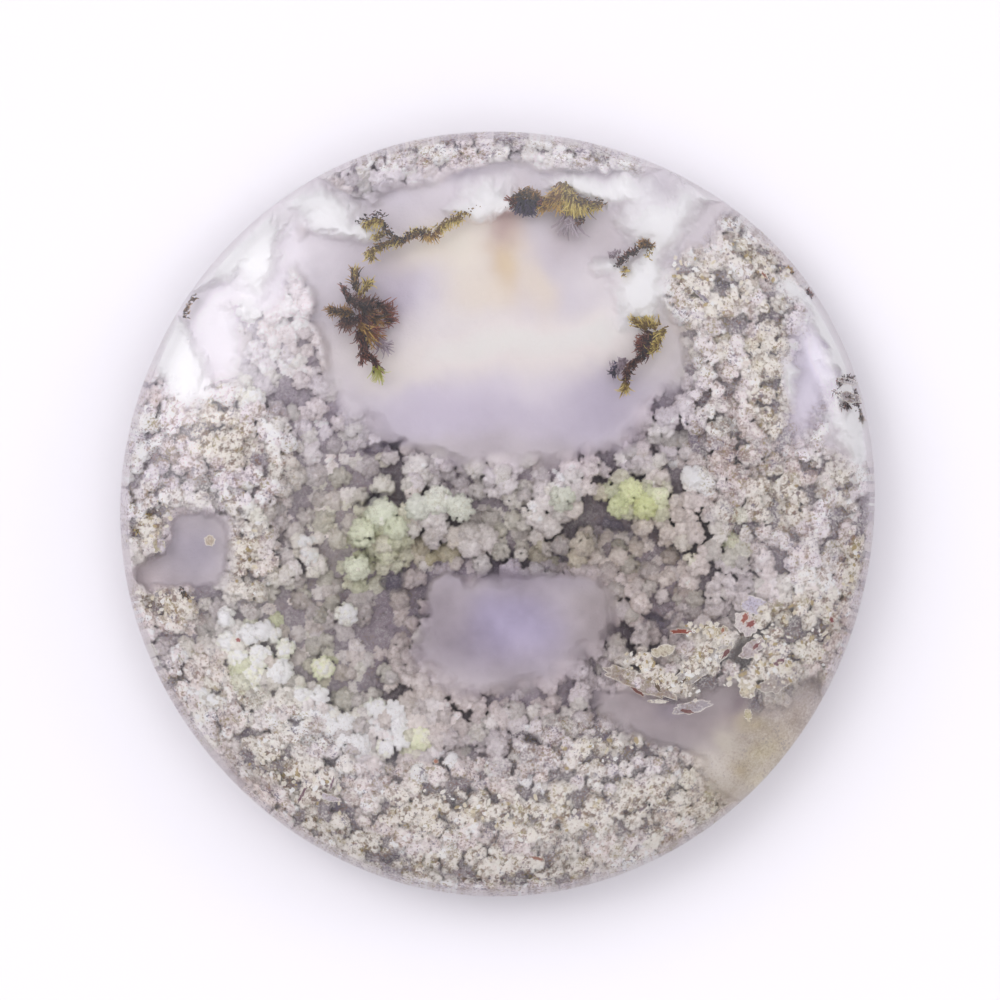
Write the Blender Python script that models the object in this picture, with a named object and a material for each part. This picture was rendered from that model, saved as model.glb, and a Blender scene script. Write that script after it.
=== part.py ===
"""Round moss agate cabochon: one cut and polished stone with a low dome and a flat back.

Metres, +Z up. The stone lies on its flat back, with the origin in the middle of that back.
+Y is the top of the stone as it is shown to a viewer, and +X is to the right.
"""

import math

import bmesh
import bpy

# Driving sizes, in metres
WIDTH = 0.038  # across the stone, left to right
THICKNESS = 0.0064  # from the flat back to the top of the dome
GIRDLE_TOP = 0.0018  # height at which the upright edge turns into the dome
BACK_BEVEL = 0.0004  # small chamfer round the flat back, which keeps the edge from chipping
GIRDLE_SLOPE = 0.00015  # how much narrower the edge is at the bevel than at its widest

# The dome's section: a superellipse, flatter on top than a ball and round at the shoulder
DOME_POWER = 2.35
SHOULDER_POWER = 1.75

# The outline is a circle ground by hand: each lobe is (times round, share of the radius, angle in degrees)
OUTLINE_LOBES = (
    (2, 0.0082, 147.0),
    (3, 0.0067, 102.0),
    (4, 0.0029, 86.0),
    (5, 0.0019, 197.0),
)

# Facets
TURN_STEPS = 96
DOME_RINGS = 17
GIRDLE_RINGS = 2

STONE_COLOUR = (0.46, 0.42, 0.45, 1.0)
STONE_ROUGHNESS = 0.06


def outline_factor(angle):
    """How far the ground outline is from the centre at this angle, where the mean is 1."""
    lobes = ((share * math.cos(times * angle - math.radians(at))) for times, share, at in OUTLINE_LOBES)
    return 1.0 + sum(lobes)


def outline_box():
    """The outline's middle and width for a mean radius of 1, measured once round."""
    steps = 720
    angles = [2 * math.pi * i / steps for i in range(steps)]
    xs = [outline_factor(a) * math.cos(a) for a in angles]
    ys = [outline_factor(a) * math.sin(a) for a in angles]
    return (max(xs) + min(xs)) / 2, (max(ys) + min(ys)) / 2, max(xs) - min(xs)


def dome_height(share):
    """Height of the polished dome above the back, at this share of the way from the centre to the edge."""
    rise = THICKNESS - GIRDLE_TOP
    return GIRDLE_TOP + rise * (1.0 - share**DOME_POWER) ** (1.0 / SHOULDER_POWER)


def half_section(radius):
    """The stone's half section in the XZ plane, from the dome's top down the outer side to the middle of the back."""
    points = []
    for ring in range(DOME_RINGS):
        # Equal turns of a quarter circle crowd the rings at the shoulder, where the dome bends most.
        share = math.sin(0.5 * math.pi * ring / DOME_RINGS)
        points.append((radius * share, dome_height(share)))
    for ring in range(GIRDLE_RINGS + 1):
        down = ring / GIRDLE_RINGS
        points.append((radius - GIRDLE_SLOPE * down, GIRDLE_TOP + (BACK_BEVEL - GIRDLE_TOP) * down))
    points.append((radius - GIRDLE_SLOPE - BACK_BEVEL, 0.0))
    points.append((0.0, 0.0))
    return points


def stone_material():
    material = bpy.data.materials.new("polished_moss_agate")
    material.use_nodes = True
    shader = material.node_tree.nodes["Principled BSDF"]
    shader.inputs["Base Color"].default_value = STONE_COLOUR
    shader.inputs["Roughness"].default_value = STONE_ROUGHNESS
    shader.inputs["Metallic"].default_value = 0.0
    return material


def cabochon(collection):
    """The stone: its half section turned once round, then ground to the outline."""
    middle_x, middle_y, width = outline_box()
    radius = WIDTH / width
    turned = bmesh.new()
    section = [turned.verts.new((x, 0.0, z)) for x, z in half_section(radius)]
    edges = [turned.edges.new(pair) for pair in zip(section, section[1:])]
    bmesh.ops.spin(
        turned,
        geom=section + edges,
        cent=(0.0, 0.0, 0.0),
        axis=(0.0, 0.0, 1.0),
        angle=2 * math.pi,
        steps=TURN_STEPS,
        use_merge=True,
    )
    bmesh.ops.remove_doubles(turned, verts=turned.verts, dist=1e-6)
    for vert in turned.verts:
        factor = outline_factor(math.atan2(vert.co.y, vert.co.x))
        vert.co.x = vert.co.x * factor - middle_x * radius
        vert.co.y = vert.co.y * factor - middle_y * radius
    bmesh.ops.recalc_face_normals(turned, faces=turned.faces)
    mesh = bpy.data.meshes.new("moss_agate_cabochon")
    turned.to_mesh(mesh)
    turned.free()
    mesh.shade_smooth()
    mesh.set_sharp_from_angle(angle=math.radians(30.0))
    stone = bpy.data.objects.new("moss_agate_cabochon", mesh)
    stone.data.materials.append(stone_material())
    collection.objects.link(stone)
    return stone


def main():
    for thing in list(bpy.data.objects):
        bpy.data.objects.remove(thing)
    collection = bpy.data.collections.new("moss_agate_cabochon")
    bpy.context.scene.collection.children.link(collection)
    cabochon(collection)


main()
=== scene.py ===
import math

import bmesh
import bpy
import numpy as np
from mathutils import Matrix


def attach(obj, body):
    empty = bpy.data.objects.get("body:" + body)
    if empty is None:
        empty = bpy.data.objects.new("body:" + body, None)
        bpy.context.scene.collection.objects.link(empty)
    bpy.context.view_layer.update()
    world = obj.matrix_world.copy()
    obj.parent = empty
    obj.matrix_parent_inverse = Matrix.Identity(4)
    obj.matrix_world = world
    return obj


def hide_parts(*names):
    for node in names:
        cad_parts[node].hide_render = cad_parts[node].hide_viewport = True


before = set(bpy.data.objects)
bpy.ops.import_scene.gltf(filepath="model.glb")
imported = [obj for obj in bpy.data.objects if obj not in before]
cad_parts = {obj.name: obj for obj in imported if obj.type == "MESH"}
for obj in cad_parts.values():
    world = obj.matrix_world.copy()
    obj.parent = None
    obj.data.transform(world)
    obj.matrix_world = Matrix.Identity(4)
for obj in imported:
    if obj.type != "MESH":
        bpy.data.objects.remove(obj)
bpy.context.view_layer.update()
mm = 0.001

# The stone as it was cut. Sizes in mm.
stone = {
    "width": 38.0,
    "thickness": 6.4,
    "girdleTop": 1.8,
    "backBevel": 0.4,
    "girdleSlope": 0.15,
    "domePower": 2.35,
    "shoulderPower": 1.75,
    # hand-ground outline: times round, share of the radius, angle in degrees
    "lobes": [(2, 0.0082, 147.0), (3, 0.0067, 102.0), (4, 0.0029, 86.0), (5, 0.0019, 197.0)],
    "turnSteps": 224,
    "domeRings": 40,
}

# The photograph's frame: the stone's middle and width in its pixels
photo = {"middle": (497.5, 514.0), "stoneWidth": 755.0}
mmPerPixel = stone["width"] / photo["stoneWidth"]


def outlineFactor(angle):
    total = np.ones_like(np.asarray(angle, float))
    for times, share, at in stone["lobes"]:
        total = total + share * np.cos(times * angle - math.radians(at))
    return total


def measureOutline():
    # the lobes push the outline off centre, so its middle is found once and taken off everywhere
    turn = np.linspace(0.0, 2 * math.pi, 721)[:-1]
    x = outlineFactor(turn) * np.cos(turn)
    y = outlineFactor(turn) * np.sin(turn)
    meanRadius = stone["width"] / (x.max() - x.min())
    return meanRadius, (x.max() + x.min()) / 2 * meanRadius, (y.max() + y.min()) / 2 * meanRadius


meanRadius, middleX, middleY = measureOutline()


def shareOf(x, y):
    # 0 on the axis, 1 on the outline. x and y in mm.
    gx, gy = x + middleX, y + middleY
    return np.hypot(gx, gy) / (meanRadius * outlineFactor(np.arctan2(gy, gx)))


def domeHeight(share):
    rise = stone["thickness"] - stone["girdleTop"]
    inside = np.clip(1.0 - np.clip(share, 0, 1) ** stone["domePower"], 0, 1)
    return stone["girdleTop"] + rise * inside ** (1.0 / stone["shoulderPower"])


def domeAt(x, y):
    return domeHeight(shareOf(x, y))


def turned(x, y, degrees):
    c, s = math.cos(math.radians(degrees)), math.sin(math.radians(degrees))
    return x * c - y * s, x * s + y * c


def toPixels(x, y):
    return x / mmPerPixel + photo["middle"][0], photo["middle"][1] - y / mmPerPixel


def fromPixels(px, py):
    return (px - photo["middle"][0]) * mmPerPixel, (photo["middle"][1] - py) * mmPerPixel


# Noise, worked on whole arrays at once
def scramble(ix, iy, iz, seed):
    # a value from 0 to 1 for each lattice point. The large numbers only mix its bits.
    n = (ix * 374761393 + iy * 668265263 + iz * 1442695041 + seed * 362437) & 0xFFFFFFFF
    n = ((n ^ (n >> 13)) * 1274126177) & 0xFFFFFFFF
    n = ((n ^ (n >> 15)) * 668265263) & 0xFFFFFFFF
    return ((n ^ (n >> 16)) & 0xFFFFFF) / 16777215.0


def softNoise(x, y, z, size, seed):
    x, y, z = (np.asarray(a, float) / size + 512.0 for a in np.broadcast_arrays(x, y, z))
    ix, iy, iz = (np.floor(a).astype(np.int64) for a in (x, y, z))
    fx, fy, fz = x - ix, y - iy, z - iz
    fx, fy, fz = (f * f * (3 - 2 * f) for f in (fx, fy, fz))
    total = 0.0
    for dx in (0, 1):
        for dy in (0, 1):
            for dz in (0, 1):
                weight = (fx if dx else 1 - fx) * (fy if dy else 1 - fy) * (fz if dz else 1 - fz)
                total = total + weight * scramble(ix + dx, iy + dy, iz + dz, seed)
    return total


def cloudNoise(x, y, z, size, seed, octaves=4):
    total, weight, whole = 0.0, 1.0, 0.0
    for octave in range(octaves):
        total = total + weight * softNoise(x, y, z, size / 2**octave, seed + 17 * octave)
        whole += weight
        weight *= 0.55
    return total / whole


def ramp(value, low, high):
    t = np.clip((value - low) / (high - low), 0, 1)
    return t * t * (3 - 2 * t)


def linear(code):
    srgb = [int(code[i : i + 2], 16) / 255 for i in (0, 2, 4)]
    return [c / 12.92 if c <= 0.04045 else ((c + 0.055) / 1.055) ** 2.4 for c in srgb]


# The map of the stone, in the photograph's pixels: (x, y, half width, half height, turn in degrees)
places = {
    "pond": [  # milky chalcedony with no moss above it
        (505, 325, 118, 92, 0), (432, 296, 52, 54, 20), (590, 275, 58, 56, 0), (492, 405, 96, 40, 6),
        (560, 392, 60, 34, -20), (500, 222, 96, 34, 0), (400, 238, 70, 26, -14), (362, 318, 30, 48, 0),
        (596, 226, 70, 34, 0), (642, 352, 22, 34, -35), (446, 372, 50, 46, 30), (700, 196, 30, 14, 30),
        (508, 630, 58, 38, -8), (560, 606, 40, 20, 0), (452, 596, 14, 16, 0), (205, 545, 20, 28, -30),
        (180, 572, 28, 11, 0), (760, 740, 62, 36, -38), (652, 716, 40, 16, 20), (704, 706, 34, 16, 0),
        (735, 652, 10, 11, 0), (808, 368, 20, 56, 12), (842, 440, 14, 22, 0), (796, 412, 9, 26, 0),
        (186, 322, 34, 60, -38), (240, 262, 40, 22, -40), (275, 262, 18, 34, 20), (332, 214, 38, 15, 12),
        (488, 196, 30, 18, 0), (372, 252, 50, 22, -20), (600, 200, 30, 14, 0), (664, 206, 36, 24, 25),
        (700, 224, 16, 18, 0), (645, 248, 28, 34, 0), (636, 292, 26, 28, 20), (796, 268, 14, 8, 30),
        (782, 380, 5, 18, -8),
    ],
    "paintedLightWindow": [  # white painted just under the polish: painted light for the bright ground seen through clear stone, and painted highlights along the rims
        (322, 210, 30, 14, 10), (346, 230, 34, 9, 10), (264, 262, 16, 30, 20), (276, 236, 18, 12, -30),
        (490, 196, 22, 15, 0), (510, 206, 16, 8, 0), (476, 210, 18, 8, 0), (590, 194, 30, 10, 5),
        (572, 186, 16, 8, 0), (628, 190, 16, 12, 0), (682, 212, 14, 18, 20), (644, 226, 22, 20, -10),
        (664, 232, 14, 18, 0), (638, 296, 27, 32, 15), (652, 262, 9, 20, 0), (606, 276, 10, 6, 0),
        (836, 348, 20, 50, -18), (856, 404, 12, 44, -6), (826, 322, 12, 14, 30), (782, 380, 5, 18, -8),
        (842, 424, 16, 20, 0), (854, 452, 10, 14, 0), (788, 294, 17, 9, 25), (812, 302, 12, 9, 30),
        (172, 345, 24, 60, -32), (232, 258, 38, 16, -42), (690, 180, 16, 7, 24), (706, 196, 10, 10, 0),
    ],
    "crust": [  # cream lace of iron-stained chalcedony, cut by the polish
        (790, 632, 36, 30, 0), (762, 674, 28, 15, -20), (702, 628, 16, 9, 0), (656, 674, 44, 9, 28),
        (822, 600, 20, 12, 0), (848, 560, 12, 30, 10), (702, 655, 26, 12, -35), (640, 660, 14, 7, 20),
        (706, 286, 40, 24, 24), (752, 262, 34, 14, 34), (768, 332, 16, 24, 0), (292, 772, 52, 18, 25),
        (440, 802, 62, 22, 0), (548, 806, 62, 26, 0), (600, 744, 40, 16, -10), (158, 520, 12, 22, 30),
        (252, 560, 16, 32, 8), (170, 602, 32, 13, 10), (480, 862, 120, 18, 0), (350, 830, 60, 18, 25),
        (640, 800, 50, 20, -20), (196, 312, 8, 16, 30), (396, 152, 46, 8, -12), (765, 400, 20, 40, 0),
        (776, 500, 30, 30, 0), (834, 470, 14, 26, 0), (846, 398, 12, 9, 0), (232, 440, 40, 26, 20),
    ],
    "crisp": [  # nothing milky in front of the plumes
        (358, 322, 40, 62, 0), (420, 236, 74, 32, -10), (560, 208, 60, 34, 0), (636, 356, 34, 48, 20),
        (632, 264, 30, 24, 0), (838, 360, 40, 90, 0), (650, 215, 40, 40, 0), (640, 296, 30, 30, 0),
        (320, 218, 50, 26, 0), (268, 256, 30, 40, 0), (490, 200, 40, 20, 0),
    ],
    "cut": [  # moss that reaches the polish and is cut by it
        (212, 450, 92, 66, 10), (155, 520, 26, 34, 0), (254, 558, 26, 44, 8), (168, 610, 42, 24, 0),
        (755, 400, 68, 150, 0), (700, 290, 42, 40, 0), (742, 250, 40, 34, 30), (822, 560, 46, 70, 0),
        (782, 640, 56, 40, -20), (702, 662, 50, 26, -30), (846, 400, 14, 10, 0), (836, 470, 22, 28, 0),
        (480, 835, 280, 74, 0), (286, 748, 80, 46, 35), (600, 775, 110, 46, 0), (196, 690, 44, 44, 30),
        (570, 742, 62, 30, -5), (430, 152, 120, 16, -4), (590, 158, 60, 14, 12), (196, 312, 10, 16, 30),
        (642, 676, 36, 14, 25), (766, 690, 28, 18, -20), (836, 660, 20, 40, -20),
    ],
    "white": [  # frosted tips
        (264, 628, 12, 9, 0), (240, 648, 9, 7, 0), (205, 690, 15, 8, 20), (690, 478, 8, 9, 0),
        (283, 718, 12, 5, 0), (262, 560, 5, 20, 6), (232, 622, 9, 7, 0), (256, 500, 6, 30, -8),
        (258, 400, 16, 12, 0), (345, 640, 6, 7, 0), (150, 648, 7, 7, 0), (820, 588, 14, 5, 0),
        (232, 742, 8, 5, 0),
    ],
    "green": [
        (384, 515, 24, 22, 0), (362, 560, 24, 26, 0), (398, 545, 14, 20, 0), (628, 498, 22, 20, 0),
        (650, 500, 16, 14, 0), (412, 742, 15, 10, 0), (330, 664, 9, 12, 0), (250, 672, 14, 16, 0),
        (682, 549, 8, 9, 0), (727, 548, 9, 9, 0), (741, 516, 8, 6, 0), (270, 622, 20, 10, 0),
    ],
    "olive": [
        (440, 550, 22, 14, 0), (555, 550, 26, 14, 0), (612, 505, 16, 20, 0), (330, 662, 14, 14, 0),
        (292, 470, 14, 12, 0), (720, 268, 30, 14, 20), (705, 330, 30, 26, 0), (755, 350, 30, 34, 0),
        (790, 620, 30, 24, 0), (700, 660, 34, 12, -30), (610, 265, 12, 8, 0), (395, 455, 16, 9, 0),
    ],
    "rust": [
        (160, 602, 38, 18, 0), (256, 552, 13, 40, 8), (215, 440, 50, 34, 20), (182, 400, 26, 20, 0),
        (775, 505, 30, 26, 0), (790, 470, 20, 16, 0), (745, 330, 16, 12, 0), (480, 795, 26, 12, 0),
        (735, 455, 24, 14, -20), (310, 790, 34, 12, 30), (830, 620, 16, 26, 0),
    ],
    "dusty": [  # fine grains that float in the brown part
        (772, 738, 60, 36, -38), (812, 700, 16, 36, -20), (700, 770, 30, 20, 0),
    ],
    "hollow": [  # places between tufts with no heads, where the painted shade of the ground shows
        (600, 522, 24, 15, 0), (612, 450, 9, 18, 0), (408, 568, 10, 14, 0), (382, 618, 15, 34, 10),
        (292, 622, 9, 24, -10), (304, 662, 9, 10, 0), (690, 676, 16, 8, 20), (716, 656, 10, 12, 0),
        (606, 694, 18, 11, 0), (630, 748, 16, 8, 0), (462, 552, 9, 18, 0), (566, 530, 9, 16, 0),
        (448, 508, 7, 12, 0), (350, 600, 8, 20, 20), (330, 560, 8, 14, 0), (655, 604, 22, 8, 10),
        (420, 590, 18, 8, 0), (548, 690, 22, 8, -10), (246, 760, 14, 8, 0), (700, 436, 9, 14, 0),
        (500, 560, 34, 7, 0), (300, 500, 7, 20, 0), (670, 400, 8, 18, 0), (770, 560, 14, 7, 0),
        (826, 520, 7, 14, 0), (450, 780, 20, 7, 10), (560, 772, 12, 6, 0), (372, 480, 22, 6, -20),
        (338, 690, 16, 6, 0), (470, 704, 14, 7, 0), (640, 560, 12, 8, 0), (230, 596, 12, 6, 0),
    ],
    "shadedHole": [  # gaps between clumps, set deeper and painted dark: painted shade
        (388, 448, 22, 4, -20), (372, 500, 16, 3, -20), (398, 575, 12, 8, 0), (612, 528, 18, 6, 10),
        (655, 612, 16, 5, 0), (460, 798, 11, 6, 0), (475, 786, 7, 4, 0), (328, 762, 8, 5, 0),
        (340, 798, 8, 4, 20), (797, 428, 9, 6, 20), (788, 440, 5, 5, 0), (722, 282, 10, 4, 30),
        (242, 512, 7, 4, 0), (506, 812, 6, 5, 0), (530, 738, 9, 5, 0), (395, 852, 8, 5, 0),
        (745, 700, 6, 18, 20), (740, 655, 8, 9, 0),
    ],
}

# How softly those places end, in pixels: the fine ones are ragged, the broad ones only bend
fineEdges = {"pond": 22, "paintedLightWindow": 14, "cut": 12, "crust": 8, "white": 5, "shadedHole": 3, "hollow": 9}
broadEdges = {"green": 9, "olive": 12, "rust": 12, "dusty": 20}
nearPondEdge = 78
# How far the map's edges bend, how long the bends are, both in pixels, and their seed
bends = {"broad": (11, 44, 3), "fine": (7, 12, 9), "nearPond": (10, 46, 15), "clouds": (12, 50, 21)}

# The colour of the clouds and of the moss in them: (x, y, half width, half height, turn, colour, strength)
clouds = {
    "base": "ABA1A6",
    "soft": [
        (420, 175, 150, 40, -8, "CDC3CC", 0.9), (525, 200, 30, 30, 0, "A89C9E", 0.6),
        (658, 188, 14, 22, 0, "9A919F", 0.95), (546, 176, 15, 24, 20, "A39AA4", 0.9),
        (468, 180, 22, 14, 0, "A69DAC", 0.9), (505, 168, 18, 10, 0, "B0A7B2", 0.8),
        (610, 176, 13, 9, 0, "B0A8B2", 0.8), (738, 216, 13, 24, -30, "B0A8B6", 0.9),
        (706, 240, 14, 9, 0, "B2AABA", 0.9), (400, 206, 20, 9, 0, "BBB2C0", 0.8),
        (372, 196, 16, 10, 0, "BEB5C4", 0.8), (300, 240, 12, 16, 0, "C4BAC8", 0.8),
        (650, 180, 80, 40, 20, "D6CED6", 0.8), (654, 286, 34, 56, 10, "E8E0E4", 0.8),
        (710, 250, 60, 50, 30, "C9C0C5", 0.9), (745, 380, 90, 130, 0, "CABDC1", 0.9),
        (680, 440, 40, 70, 0, "B8ADAF", 0.6), (640, 560, 70, 90, 0, "9A8F87", 0.9),
        (835, 560, 40, 110, 0, "B6AAB2", 0.9), (868, 450, 20, 130, 0, "DAD0DA", 0.9),
        (700, 640, 80, 60, -10, "988C8C", 0.9), (800, 640, 50, 44, 0, "9C9190", 0.8),
        (300, 300, 70, 60, 0, "BDB2BC", 0.9), (225, 330, 86, 104, -35, "E9E1EC", 1.0),
        (210, 450, 96, 80, 0, "B6AAB6", 1.0), (350, 400, 60, 70, 0, "C2B6BC", 0.9),
        (132, 430, 20, 110, 0, "DAD0DC", 0.8), (255, 560, 60, 60, 0, "C2B6B8", 0.9),
        (165, 600, 50, 50, 0, "AE9FA2", 0.9), (340, 530, 70, 80, 0, "BFB5AA", 0.9),
        (265, 660, 90, 70, 0, "A89F9B", 1.0), (390, 700, 80, 40, 0, "B4ACA5", 0.7),
        (510, 520, 120, 56, 0, "A49B90", 0.9), (400, 620, 50, 50, 0, "A69A9A", 0.8),
        (520, 700, 110, 40, 0, "AFA4A4", 0.8), (480, 830, 300, 70, 0, "C8BBBE", 1.0),
        (700, 800, 90, 50, -30, "C4B6AE", 0.8), (400, 866, 150, 30, 8, "D6CACE", 0.8),
        (282, 450, 30, 80, 0, "CDC2C8", 0.8), (505, 330, 176, 134, 0, "CFC5D4", 1.0),
        (440, 295, 62, 54, 0, "CBC2D6", 0.95), (396, 298, 26, 42, 0, "ACA1B6", 0.95),
        (396, 266, 22, 20, 0, "ACA0AC", 0.9), (444, 248, 44, 22, -15, "F4E4CC", 0.9),
        (500, 352, 156, 30, -3, "FFF0E4", 1.0), (400, 376, 38, 20, -14, "F4E6DA", 0.95),
        (610, 330, 44, 24, -20, "FFF4E8", 0.9), (462, 320, 52, 24, -20, "F0E6E4", 0.7),
        (560, 372, 90, 18, -6, "F6E8DA", 0.8), (480, 398, 130, 20, 0, "D2C6DC", 0.9),
        (545, 388, 60, 22, 0, "DED2DC", 0.6), (500, 426, 140, 24, 0, "B9AEC4", 0.95),
        (500, 458, 130, 22, 0, "A99EA4", 0.9), (472, 258, 26, 46, 8, "F6E6CE", 0.95),
        (486, 298, 34, 26, 10, "F0DCC4", 0.9), (508, 264, 19, 40, 4, "D6B488", 0.95),
        (510, 226, 17, 22, 8, "A0827E", 0.95), (536, 286, 18, 38, -18, "E8D2B8", 0.85),
        (556, 256, 20, 24, 0, "BBAFBA", 0.8), (600, 246, 40, 26, 0, "B8ACB2", 0.9),
        (566, 238, 14, 20, 0, "A0949A", 0.8), (600, 284, 34, 18, 0, "E0D6DA", 0.8),
        (628, 314, 24, 26, 0, "F2E8EA", 0.9), (598, 404, 40, 36, 0, "A49AB2", 0.9),
        (440, 414, 60, 26, 0, "BEB2CC", 0.8), (508, 628, 84, 56, -5, "8A7F90", 0.95),
        (512, 622, 44, 28, 0, "958BAE", 0.95), (606, 622, 36, 50, 20, "908486", 0.8),
        (445, 612, 24, 50, 0, "8A7F88", 0.8), (515, 574, 90, 14, 0, "8C8190", 0.8),
        (200, 552, 36, 30, 0, "88808F", 0.95), (690, 712, 100, 40, 10, "84767A", 0.95),
        (770, 742, 66, 40, -38, "AC9C86", 0.95), (720, 780, 50, 26, -20, "B5A894", 0.7),
        (742, 716, 16, 13, 30, "A39270", 0.8), (756, 746, 18, 11, -20, "B9AA88", 0.8),
        (722, 738, 12, 16, 0, "BCB09C", 0.8), (782, 764, 14, 10, 0, "A58F62", 0.8),
        (706, 766, 18, 10, 20, "C6BAAC", 0.8), (758, 774, 12, 9, 0, "C9BA96", 0.8),
        (732, 692, 9, 20, 25, "74646A", 0.9), (668, 706, 18, 10, 10, "8F8290", 0.8),
        (738, 764, 10, 9, 0, "9E8B6A", 0.8), (790, 716, 14, 20, -30, "8F7F74", 0.8),
        (812, 700, 14, 26, -30, "9B8D88", 0.8), (738, 652, 14, 14, 0, "6F645E", 1.0),
        (808, 372, 30, 70, 10, "C3BAD2", 0.95), (256, 800, 40, 16, 38, "A08F86", 0.9),
    ],
    # white painted in the windows: painted light for the bright ground seen through clear stone, and painted
    # highlights along the rims
    "clear": "FFFDFF",
    "calm": (505, 320, 175, 140),  # hardly mottled
    "mottle": 0.9,
    # dark violets painted as shade: the first in the gaps between heads, the second in the holes between
    # clumps
    "gapShade": "66596B",
    "shadedHole": "544E5C",
}


def ovalAway(px, py, x, y, wide, high, turn):
    # 0 in the middle of the oval and 1 on its edge
    along, across = turned(px - x, py - y, -turn)
    return np.hypot(along / wide, across / high)


def patches(px, py, name, soft):
    none = np.ones_like(px)
    for oval in places[name]:
        edge = min(0.9, soft / math.sqrt(oval[2] * oval[3]))
        none = none * ramp(ovalAway(px, py, *oval), 1 - edge, 1 + edge)
    return 1 - none


def bent(px, py, reach, size, seed):
    # natural edges: the map is looked up a little way off, by a soft noise
    return (
        px + reach * (cloudNoise(px, py, 0.0, size, seed) - 0.5) * 2,
        py + reach * (cloudNoise(px, py, 0.0, size, seed + 5) - 0.5) * 2,
    )


def fieldsAt(x, y):
    # what the map says about places on the stone, x and y in mm
    px, py = toPixels(x, y)
    broad = bent(px, py, *bends["broad"])
    fine = bent(*broad, *bends["fine"])
    found = {"share": shareOf(x, y), "px": px, "py": py}
    for edges, where in ((fineEdges, fine), (broadEdges, broad)):
        for name, soft in edges.items():
            found[name] = patches(*where, name, soft)
    found["nearPond"] = patches(*bent(*broad, *bends["nearPond"]), "pond", nearPondEdge)
    return found


def blend(colour, share, other):
    share = np.asarray(share)[..., None]
    return colour * (1 - share) + other * share


def seen(code):
    return np.array(linear(code))


def cloudColour(found):
    # the colour that the eye meets at each place, before any grain
    wx, wy = bent(found["px"], found["py"], *bends["clouds"])
    colour = np.ones((len(wx), 3)) * seen(clouds["base"])
    for *oval, code, strength in clouds["soft"]:
        colour = blend(colour, strength * np.exp(-(ovalAway(wx, wy, *oval) ** 2.4)), seen(code))
    x, y, wide, high = clouds["calm"]
    calm = np.exp(-(((found["px"] - x) / wide) ** 4) - ((found["py"] - y) / high) ** 4)
    mottle = cloudNoise(found["px"], found["py"], 0.0, 40, 27, 4) - 0.5
    return colour * (1 + clouds["mottle"] * (1 - 0.9 * calm) * mottle)[:, None]


def underGlass(colour):
    # Light that enters a stone is partly turned back at the polish, so a mineral inside looks darker
    # than it is. This gives the mineral's own colour for the colour that the eye sees.
    entering, turnedBack = 0.92, 0.60
    return np.clip(colour / (entering * (1 - turnedBack) + colour * turnedBack), 0, 0.985)


# Materials
def addNode(tree, kind, settings=None, inputs=None):
    node = tree.nodes.new(kind)
    for name, value in (settings or {}).items():
        setattr(node, name, value)
    for name, value in (inputs or {}).items():
        if isinstance(value, bpy.types.NodeSocket):
            tree.links.new(value, node.inputs[name])
        else:
            node.inputs[name].default_value = value
    return node


def newMaterial(name):
    material = bpy.data.materials.new(name)
    material.use_nodes = True
    tree = material.node_tree
    return material, tree, next(n for n in tree.nodes if n.type == "BSDF_PRINCIPLED")


def polishedChalcedony():
    # Chalcedony, ground and polished: clear with a faint lilac cast, IOR 1.54 and a sharp gloss. A little
    # haze over the ponds softens what lies deep.
    material, tree, shader = newMaterial("polished_chalcedony")
    shader.inputs["Base Color"].default_value = (0.985, 0.975, 0.99, 1)
    shader.inputs["Transmission Weight"].default_value = 1.0
    shader.inputs["IOR"].default_value = 1.54
    haze = addNode(tree, "ShaderNodeAttribute", {"attribute_name": "haze"}).outputs["Fac"]
    tree.links.new(haze, shader.inputs["Roughness"])
    return material


crumble = {
    # noises: size in mm, detail, roughness
    "grain": (0.13, 3.0, 0.7),
    "cluster": (0.8, 2.0, 0.6),
    "hue": (0.6, 2.0, 0.5),
    "clustering": 0.45,
    # grains: the level where they start, where they are full, and their greatest share
    "dark": (0.68, 0.60, 0.75),
    "pale": (0.76, 0.84, 0.60),
    "inks": ("4F4658", "6E5042", "76683A"),
    "paleGrain": "F4EDDE",
}


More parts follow.
